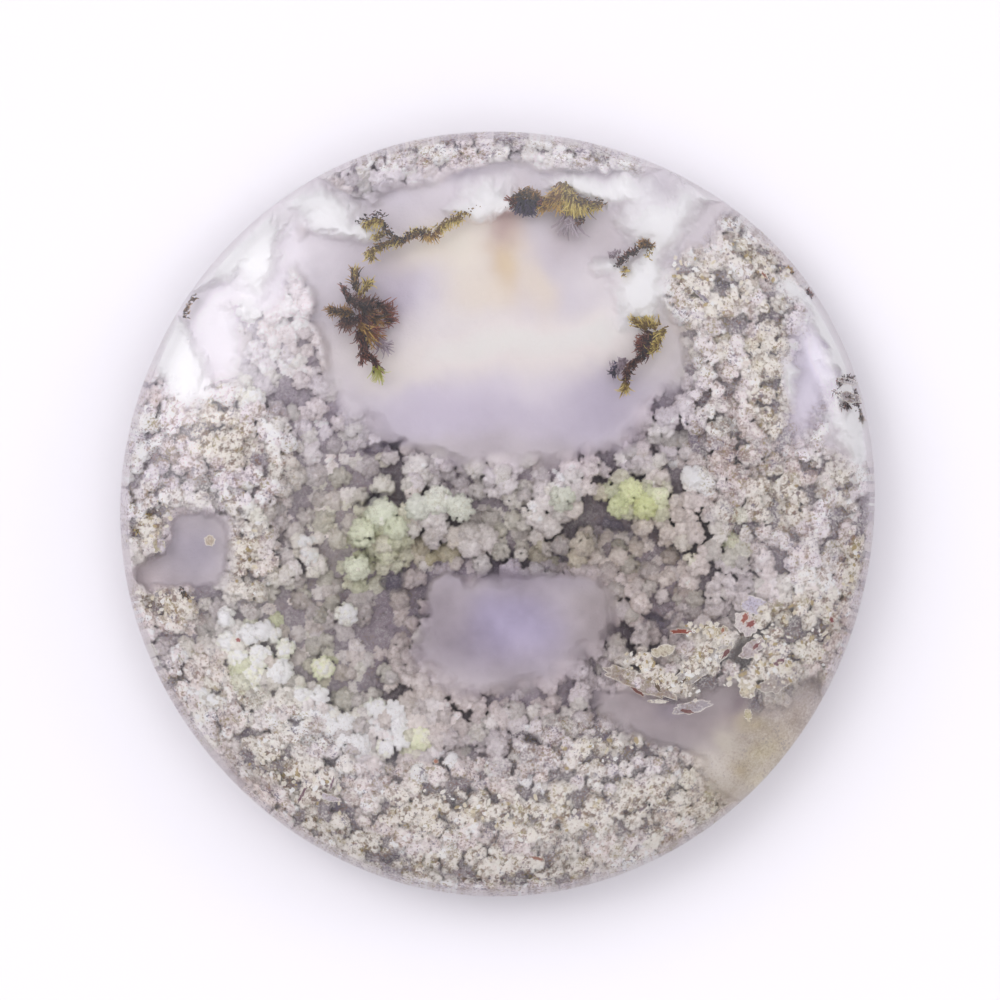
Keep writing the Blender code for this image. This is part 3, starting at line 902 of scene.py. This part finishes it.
# Iron plumes that hang just under the polish. Threads start along a spine and lean between two ways.
# spine in the photograph's pixels; ways in degrees, 0 to the right and 90 up; long in pixels
threadColours = {
    "gold": ("4E380E", "EFCB62"), "amber": ("4E300E", "DDA650"), "brown": ("1C0F0A", "96682F"),
    "wine": ("200B0E", "84483A"), "blue": ("0C0818", "2E2644"), "smoke": ("6A5A64", "A99AA6"),
    "green": ("7A7A24", "D6D67A"), "plum": ("160C12", "6A4236"),
}
plumes = {
    "left_plume": [
        ([(358, 296), (357, 284), (358, 275)], (60, 120), 9, 50, "brown", 0.3),
        ([(357, 281), (358, 273)], (70, 110), 6, 22, "gold", 0.25),
        ([(362, 300), (372, 286)], (40, 80), 8, 36, "gold", 0.35),
        ([(352, 306), (346, 290)], (90, 130), 5, 30, "wine", 0.25),
        ([(356, 318), (342, 314), (334, 313)], (110, 250), 9, 80, "brown", 0.3),
        ([(360, 322), (350, 326), (346, 322)], (200, 280), 9, 70, "plum", 0.3),
        ([(352, 304), (362, 308), (372, 312)], (-60, 80), 9, 130, "plum", 0.4),
        ([(360, 306), (372, 308), (382, 310)], (-40, 60), 8, 60, "plum", 0.5),
        ([(366, 312), (378, 322)], (-90, 0), 13, 90, "brown", 0.6),
        ([(382, 308), (390, 316), (388, 326)], (-50, 40), 10, 70, "wine", 0.9),
        ([(362, 318), (368, 330)], (-70, -20), 22, 80, "wine", 0.35),
        ([(362, 326), (366, 334)], (-62, -30), 20, 44, "amber", 0.3),
        ([(360, 334), (364, 340)], (-100, -75), 9, 24, "wine", 0.25),
        ([(366, 336), (366, 350), (368, 358)], (-100, -60), 9, 60, "plum", 0.3),
        ([(368, 356), (376, 362), (380, 370)], (-60, -30), 7, 50, "wine", 0.3),
        ([(366, 356), (364, 364)], (-100, -80), 6, 18, "wine", 0.3),
        ([(379, 369), (382, 374)], (-110, -70), 13, 40, "green", 0.35),
        ([(378, 342), (386, 348)], (-60, -20), 12, 40, "smoke", 0.9),
    ],
    "chain_plume": [
        ([(359, 226), (370, 220), (381, 218), (387, 220)], (-30, 30), 2.5, 30, "plum", 0.2),
        ([(385, 225), (377, 224), (369, 226)], (215, 265), 8, 60, "gold", 0.25),
        ([(384, 226), (389, 234), (397, 241), (404, 244)], (190, 330), 3, 60, "brown", 0.25),
        ([(402, 244), (389, 248), (377, 253), (367, 257)], (210, 270), 6, 70, "gold", 0.3),
        ([(402, 244), (389, 247), (374, 255)], (170, 230), 5, 50, "brown", 0.25),
        ([(376, 254), (374, 262)], (220, 290), 6, 24, "gold", 0.3),
        ([(386, 236), (378, 242)], (190, 240), 6, 24, "gold", 0.3),
        ([(404, 243), (414, 238), (420, 235), (428, 239)], (230, 300), 5, 80, "brown", 0.3),
        ([(406, 240), (420, 234), (432, 236)], (40, 110), 3, 50, "gold", 0.25),
        ([(424, 238), (434, 240), (440, 234)], (240, 310), 6, 60, "amber", 0.3),
        ([(440, 232), (447, 226), (454, 223), (462, 221)], (235, 285), 8, 80, "gold", 0.35),
        ([(458, 218), (470, 217), (478, 214), (481, 210)], (200, 260), 4, 40, "gold", 0.3),
    ],
    "fan_plume": [
        ([(519, 200), (526, 198), (536, 202)], (50, 150), 5, 60, "brown", 0.25),
        ([(517, 203), (526, 207), (536, 204)], (-160, -20), 10, 130, "blue", 0.4),
        ([(516, 200), (526, 196), (538, 203)], (-140, 120), 6, 80, "brown", 0.25),
        ([(520, 212), (532, 213)], (-140, -40), 7, 80, "blue", 0.9),
        ([(510, 207), (518, 206)], (150, 220), 7, 40, "wine", 0.3),
        ([(534, 202), (539, 208)], (-30, 50), 5, 30, "wine", 0.3),
        ([(556, 194), (550, 202), (543, 210)], (215, 262), 11, 80, "amber", 0.3),
        ([(561, 187), (560, 196), (558, 204)], (225, 268), 14, 110, "amber", 0.3),
        ([(561, 187), (566, 190), (571, 194)], (225, 300), 10, 80, "gold", 0.25),
        ([(566, 198), (574, 203), (583, 206)], (240, 285), 17, 130, "gold", 0.3),
        ([(582, 206), (592, 208), (601, 208)], (215, 265), 8, 70, "gold", 0.3),
        ([(568, 199), (584, 206), (602, 208)], (-20, 15), 4, 60, "brown", 0.2),
        ([(583, 222), (579, 226)], (200, 240), 5, 16, "plum", 0.3),
        ([(564, 216), (574, 222)], (245, 290), 20, 40, "smoke", 0.8),
    ],
    "right_plume": [
        ([(654, 330), (648, 328), (640, 331)], (70, 160), 9, 60, "gold", 0.3),
        ([(640, 331), (632, 323)], (120, 170), 7, 30, "gold", 0.4),
        ([(662, 332), (656, 340), (651, 352)], (190, 250), 9, 110, "gold", 0.3),
        ([(650, 336), (646, 346), (644, 356)], (150, 260), 10, 130, "plum", 0.45),
        ([(644, 340), (640, 352)], (120, 240), 8, 60, "wine", 0.5),
        ([(642, 357), (633, 364), (625, 372), (624, 382)], (200, 280), 5, 110, "plum", 0.3),
        ([(624, 364), (613, 373)], (150, 250), 8, 50, "smoke", 0.8),
        ([(617, 370), (612, 374)], (150, 250), 6, 30, "blue", 0.8),
        ([(624, 382), (622, 390)], (230, 300), 9, 36, "gold", 0.35),
    ],
    "small_plume": [
        ([(616, 270), (625, 260), (636, 254)], (30, 240), 4, 70, "plum", 0.2),
        ([(636, 252), (643, 247), (650, 250)], (0, 180), 5, 50, "brown", 0.2),
        ([(648, 250), (646, 262)], (200, 340), 4, 30, "gold", 0.2),
        ([(608, 262), (616, 256)], (60, 160), 4, 16, "smoke", 0.3),
        ([(620, 277), (624, 272)], (180, 340), 4, 16, "gold", 0.25),
    ],
    "rim_spots": [
        ([(785, 276), (789, 273), (787, 270)], (60, 200), 3, 30, "amber", 0.1),
        ([(807, 292), (813, 296)], (20, 160), 3, 30, "wine", 0.1),
        ([(750, 245), (755, 246)], (0, 180), 3, 24, "wine", 0.1),
        ([(760, 272), (765, 280)], (240, 300), 3, 24, "wine", 0.1),
        ([(834, 386), (843, 379), (855, 381)], (20, 200), 3, 60, "plum", 0.1),
        ([(832, 392), (844, 398), (856, 392), (856, 406), (836, 408)], (0, 360), 3.5, 110, "plum", 0.1),
        ([(858, 410), (861, 422)], (200, 300), 3, 30, "brown", 0.1),
        ([(186, 318), (190, 302), (196, 298)], (-30, 60), 4, 40, "brown", 0.1),
        ([(184, 588), (190, 596)], (200, 330), 5, 50, "brown", 0.1),
        ([(140, 530), (156, 512)], (200, 260), 4, 40, "gold", 0.1),
    ],
}
threads = {
    "steps": 5,
    "sides": 3,
    "radius": 0.052,  # mm
    "stoutness": (0.6, 1.3),
    "tip": 0.35,  # share of the thread's own radius
    "curl": 0.7,
    "crowd": 1.7,
    "spread": 1.6,  # pixels off the spine
    "lengths": (0.3, 1.3),
    "sink": 0.5,
    "cover": 0.04,  # least stone above them, mm
    "reach": 0.982,  # share of the outline
}


def alongSpine(spine, t):
    points = np.array(spine, float)
    gaps = np.hypot(*np.diff(points, axis=0).T)
    at = np.concatenate([[0], np.cumsum(gaps)])
    return np.interp(t * at[-1], at, points[:, 0]), np.interp(t * at[-1], at, points[:, 1])


def tubes(name, paths, radii, colours, material):
    # paths: thread, step, xyz in mm. Three-sided tubes, closed at both ends.
    count, steps, sides = paths.shape[0], paths.shape[1], threads["sides"]
    along = np.gradient(paths, axis=1)
    along /= np.linalg.norm(along, axis=2)[..., None] + 1e-9
    side = np.cross(along, np.array([0.0, 0.0, 1.0]) + 0.01 * along[..., ::-1])
    side /= np.linalg.norm(side, axis=2)[..., None] + 1e-9
    upward = np.cross(side, along)
    turn = np.arange(sides) * 2 * math.pi / sides
    ring = side[:, :, None] * np.cos(turn)[:, None] + upward[:, :, None] * np.sin(turn)[:, None]
    points = (paths[:, :, None] + ring * radii[:, :, None, None]).reshape(-1, 3)
    faces = []
    for step in range(steps - 1):
        for s in range(sides):
            a, b = step * sides + s, step * sides + (s + 1) % sides
            faces += [(a, a + sides, b + sides), (a, b + sides, b)]
    last = (steps - 1) * sides
    faces += [(0, 1, 2), (last + 2, last + 1, last)]
    faces = (np.array(faces)[None] + np.arange(count)[:, None, None] * steps * sides).reshape(-1, 3)
    mesh = meshFromArrays(name, keepInside(points), faces)
    setColour(mesh, np.repeat(colours.reshape(-1, 3), sides, axis=0))
    # each thread has a tile of its own on the bake map
    across = math.ceil(math.sqrt(count))
    owner = cornerOwners(mesh)
    tile, corner = owner // (steps * sides), owner % (steps * sides)
    u = (tile % across + 0.1 + 0.8 * (corner // sides) / (steps - 1)) / across
    v = (tile // across + 0.1 + 0.8 * (corner % sides) / (sides - 1)) / across
    setBakeMap(mesh, u, v)
    addPiece(name, mesh, material)
    return mesh


def buildPlumes():
    material = ironPlume()
    steps = threads["steps"]
    t = np.linspace(0, 1, steps)
    for order, (name, fans) in enumerate(plumes.items()):
        rng = np.random.default_rng(500 + order)
        paths, radii, colours = [], [], []
        for spine, (wayA, wayB), long, count, hue, deep in fans:
            root, tip = (seen(code) for code in threadColours[hue])
            count = int(count * threads["crowd"])
            start = rng.random(count)
            px, py = (a + rng.normal(0, threads["spread"], count) for a in alongSpine(spine, start))
            way = np.radians(wayA + (wayB - wayA) * rng.random(count))
            bend = rng.normal(0, threads["curl"], count)
            reach = long * rng.uniform(*threads["lengths"], count)
            heading = way[:, None] + bend[:, None] * t
            stepLong = reach[:, None] / (steps - 1)
            dx, dy = (
                np.concatenate([np.zeros((count, 1)), np.cumsum(stepLong * wave(heading[:, 1:]), 1)], 1)
                for wave in (np.cos, np.sin)
            )
            x, y = fromPixels(px[:, None] + dx, py[:, None] - dy)
            lie = deep * threads["sink"] + rng.uniform(0, 0.25, (count, 1))
            lie = lie + 0.2 * t * rng.random((count, 1))
            z = domeAt(x, y) - lie
            paths.append(np.stack([x, y, z], 2))
            stout = 1.4 if hue in ("blue", "smoke") else 1.0
            thick = threads["radius"] * stout * rng.uniform(*threads["stoutness"], (count, 1))
            radii.append(thick * (1 - (1 - threads["tip"]) * t))
            share = np.clip(1.15 * t - 0.2 + rng.normal(0, 0.28, (count, 1)), 0, 1)
            colours.append(root * (1 - share[..., None]) + tip * share[..., None])
        mesh = tubes(name, *(np.concatenate(part) for part in (paths, radii, colours)), material)
        print(name, len(mesh.polygons), "faces")


# Iron-stained skins cut by the polish: a cream rim round a dusky or red inside.
# (x, y, half length, half width, turn, inside colour)
skins = {
    "leaves": [
        (699, 663, 33, 11, 36, "8F8884"), (637, 679, 36, 9, -24, "86796F"),
        (689, 704, 20, 6, 8, "8C8287"), (749, 646, 14, 8, 32, "9A8C8E"), (750, 604, 12, 10, 0, "A9A1B4"),
        (742, 622, 12, 11, -50, "B3A5A4"), (775, 678, 22, 10, 20, "948982"),
        (744, 684, 9, 12, 20, "B0A48C"), (722, 640, 14, 7, 40, "A79E8E"), (718, 630, 7, 6, 30, "93866A"),
        (708, 628, 8, 5, 0, "A5946E"), (745, 712, 4, 6, 0, "B4A77E"), (726, 668, 5, 3, 20, "CFC5B0"),
        (731, 673, 4, 3, -20, "D6CCB8"), (726, 681, 3, 3, 0, "CFC5B0"), (655, 698, 10, 2, 0, "CFC5B0"),
        (728, 228, 5, 7, 10, "77717C"), (330, 794, 12, 4, -12, "A89CA6"), (160, 545, 9, 7, -30, "8E8468"),
        (214, 540, 6, 5, 0, "9C8A76"), (848, 398, 13, 5, -8, "8C8488"), (846, 382, 12, 3, -12, "A79FA2"),
        (660, 648, 12, 6, 20, "B2A78E"), (700, 300, 26, 2, -42, "6C6470"),
    ],
    "cores": [
        (678, 629, 12, 2.4, -4, "6E3328"), (741, 616, 3, 7, -30, "7A3424"),
        (747, 622, 6, 3, 20, "70302A"), (722, 651, 8, 2.2, 45, "53292A"), (635, 688, 8, 2, -38, "55302A"),
        (684, 708, 7, 1.6, -8, "5C3430"), (753, 643, 7, 2.2, 55, "5A2C2C"),
        (776, 660, 6, 4, 30, "5A3C42"), (719, 628, 3, 2, 50, "7C4C34"), (655, 684, 6, 2.2, -50, "4A3A2C"),
        (829, 619, 3, 3, 0, "6A3638"), (762, 277, 2, 4, 30, "704030"), (437, 757, 3, 2, 0, "8A5848"),
        (537, 855, 6, 1.5, -10, "805444"), (680, 678, 5, 2, 30, "463A30"), (242, 638, 3, 2, 0, "8A4A44"),
        (304, 792, 9, 2, 60, "5A4048"), (334, 780, 2, 7, -20, "54384A"),
    ],
    # clusters of crumbs: (x, y, half width, half height, turn, how many)
    "crumbs": [
        (702, 628, 20, 8, 0, 26), (656, 672, 46, 7, -28, 44), (790, 632, 38, 32, 0, 70),
        (762, 674, 28, 14, 20, 40), (726, 672, 7, 12, 0, 7), (745, 713, 2, 6, 0, 3),
        (850, 560, 8, 28, -10, 16), (640, 655, 12, 5, -20, 10), (702, 655, 28, 8, 35, 24),
        (600, 744, 40, 14, 10, 24), (450, 804, 70, 20, 0, 40), (300, 774, 54, 16, -25, 34),
        (550, 806, 60, 22, 0, 30), (708, 286, 44, 22, -24, 30), (755, 262, 34, 12, -34, 18),
        (160, 522, 12, 24, -30, 14), (168, 602, 34, 12, 0, 16), (252, 560, 12, 32, -8, 14),
    ],
    "crumbColours": ("EFE7D8", "D9CEB8", "CDBE9E", "E6DDCA", "F7F4EE", "94805A"),
    "crumbSize": (0.9, 2.4),
    "rim": "EDE4D0",
    "thickness": 0.05,
    "speck": {"leaves": 0.7, "cores": 0.12, "crumbs": 0.3},
    "ragged": {"leaves": 0.16, "cores": 0.26, "crumbs": 0.35},
    "corners": {"leaves": 44, "cores": 44, "crumbs": 9},
    "under": {"leaves": 0.065, "cores": 0.035, "crumbs": 0.035},  # mm of stone above them
}


def crumbShapes(rng):
    shapes = []
    for x, y, wide, high, turn, count in skins["crumbs"]:
        for u, w in rng.uniform(-1, 1, (count, 2)):
            size = rng.uniform(*skins["crumbSize"])
            code = skins["crumbColours"][rng.integers(len(skins["crumbColours"]))]
            dx, dy = turned(u * wide, w * high, -turn)
            shapes.append((x + dx, y + dy, size * rng.uniform(0.8, 1.6), size, rng.uniform(0, 180), code))
    return shapes


def buildSkins():
    for order, part in enumerate(("leaves", "cores", "crumbs")):
        shape = bmesh.new()
        layer = shape.verts.layers.float_color.new("tint")
        rng = np.random.default_rng(700 + order)
        for x, y, long, wide, turn, code in crumbShapes(rng) if part == "crumbs" else skins[part]:
            corners = skins["corners"][part]
            made = bmesh.ops.create_circle(shape, cap_ends=True, radius=1.0, segments=corners)["verts"]
            face = made[0].link_faces[0]
            phase = rng.uniform(0, 6.28, 5)
            for v in made:
                a = math.atan2(v.co.y, v.co.x)
                waves = sum(math.sin((2 + 3 * n) * a + phase[n]) / (1 + 0.3 * n) for n in range(5))
                r = 1 + 0.6 * skins["ragged"][part] * waves
                v.co.x, v.co.y = turned(v.co.x * r * long, v.co.y * r * wide, turn)
            bmesh.ops.inset_individual(
                shape, faces=[face], thickness=min(1.3, wide * 0.3), depth=0.0, use_even_offset=False
            )
            middle = set(face.verts)
            for v in {*made, *middle}:
                mx, my = fromPixels(x + v.co.x, y - v.co.y)
                z = float(domeAt(np.float64(mx), np.float64(my))) - skins["under"][part]
                v.co = (mx * mm, my * mm, z * mm)
                pale = v not in middle and (part == "leaves" or part == "cores" and wide > 1.9)
                v[layer] = (*underGlass(seen(skins["rim"] if pale else code)), 1)
        bmesh.ops.triangulate(shape, faces=shape.faces)
        back = bmesh.ops.extrude_face_region(shape, geom=shape.faces[:], use_keep_orig=True)["geom"]
        back = [v for v in back if isinstance(v, bmesh.types.BMVert)]
        bmesh.ops.translate(shape, verts=back, vec=(0, 0, -skins["thickness"] * mm))
        bmesh.ops.recalc_face_normals(shape, faces=shape.faces)
        mesh = meshFromShape("iron_skin_" + part, shape)
        setAttribute(mesh, "speck", "FLOAT", np.full(len(mesh.vertices), skins["speck"][part]))
        flatBakeMap(mesh)
        addPiece("iron_skin_" + part, mesh, cutMoss("iron_skin_" + part))
        print("iron skins:", part, len(mesh.polygons), "faces")


# Floor, light and camera
card = {"half": 1.2, "drop": 0.00002, "colour": (0.735, 0.72, 0.755, 1)}  # metres


def buildStage():
    # White card: matt and faintly lilac. The light of the tent brings it up to white.
    shape = bmesh.new()
    bmesh.ops.create_grid(shape, x_segments=1, y_segments=1, size=card["half"])
    mesh = meshFromShape("floor", shape)
    floor = bpy.data.objects.new("floor", mesh)
    floor.location.z = -card["drop"]
    material, tree, shader = newMaterial("white_card")
    shader.inputs["Base Color"].default_value = card["colour"]
    shader.inputs["Roughness"].default_value = 0.8
    shader.inputs["Specular IOR Level"].default_value = 0.2
    mesh.materials.append(material)
    bpy.context.scene.collection.objects.link(floor)


# A soft tent with glowing panels whose edges fade. The last panel is a dark opening right above the
# stone, through which the camera looks. Angles in degrees.
tent = {
    "fill": (0.50, 1.64),  # at the horizon and overhead
    "colour": (0.985, 0.97, 1.0, 1),
    # (azimuth, elevation, half angle of the core, half angle of the edge, strength)
    "panels": [(148, 34, 8, 28, 3.2), (22, 22, 3, 12, 5.0), (80, 28, 4, 20, 1.6), (90, 90, 14, 38, -1.15)],
}


def buildLight():
    scene = bpy.context.scene
    world = bpy.data.worlds.new("soft_tent")
    scene.world = world
    world.use_nodes = True
    tree = world.node_tree
    back = next(n for n in tree.nodes if n.type == "BACKGROUND")
    where = addNode(tree, "ShaderNodeTexCoord").outputs["Generated"]
    height = addNode(tree, "ShaderNodeSeparateXYZ", None, {"Vector": where}).outputs["Z"]
    low, high = tent["fill"]
    total = addNode(
        tree, "ShaderNodeMapRange", {"interpolation_type": "SMOOTHSTEP"},
        {"Value": height, "From Min": 0.0, "From Max": 0.9, "To Min": low, "To Max": high},
    ).outputs["Result"]
    for azimuth, elevation, core, edge, strength in tent["panels"]:
        a, e = math.radians(azimuth), math.radians(elevation)
        way = (math.cos(a) * math.cos(e), math.sin(a) * math.cos(e), math.sin(e))
        facing = addNode(tree, "ShaderNodeVectorMath", {"operation": "DOT_PRODUCT"}, {0: where, 1: way})
        glow = addNode(
            tree, "ShaderNodeMapRange", {"interpolation_type": "SMOOTHSTEP"},
            {"Value": facing.outputs["Value"], "From Min": math.cos(math.radians(edge)),
             "From Max": math.cos(math.radians(core)), "To Min": 0.0, "To Max": strength},
        ).outputs["Result"]
        total = addNode(tree, "ShaderNodeMath", {"operation": "ADD"}, {0: glow, 1: total}).outputs[0]
    back.inputs["Color"].default_value = tent["colour"]
    tree.links.new(total, back.inputs["Strength"])
    scene.view_settings.view_transform = "Standard"


camera = {"lens": 150.0, "frameWidth": 1000.0}


def buildCamera():
    data = bpy.data.cameras.new("camera")
    data.lens = camera["lens"]
    data.clip_start, data.clip_end = 0.01, 5.0
    eye = bpy.data.objects.new("camera", data)
    x, y = fromPixels(camera["frameWidth"] / 2, camera["frameWidth"] / 2)
    away = camera["frameWidth"] * mmPerPixel * camera["lens"] / data.sensor_width
    eye.location = (x * mm, y * mm, (stone["girdleTop"] + away) * mm)
    bpy.context.scene.collection.objects.link(eye)
    bpy.context.scene.camera = eye


buildPolishedStone()
buildMoss()
buildPlumes()
buildSkins()
buildStage()
buildLight()
buildCamera()
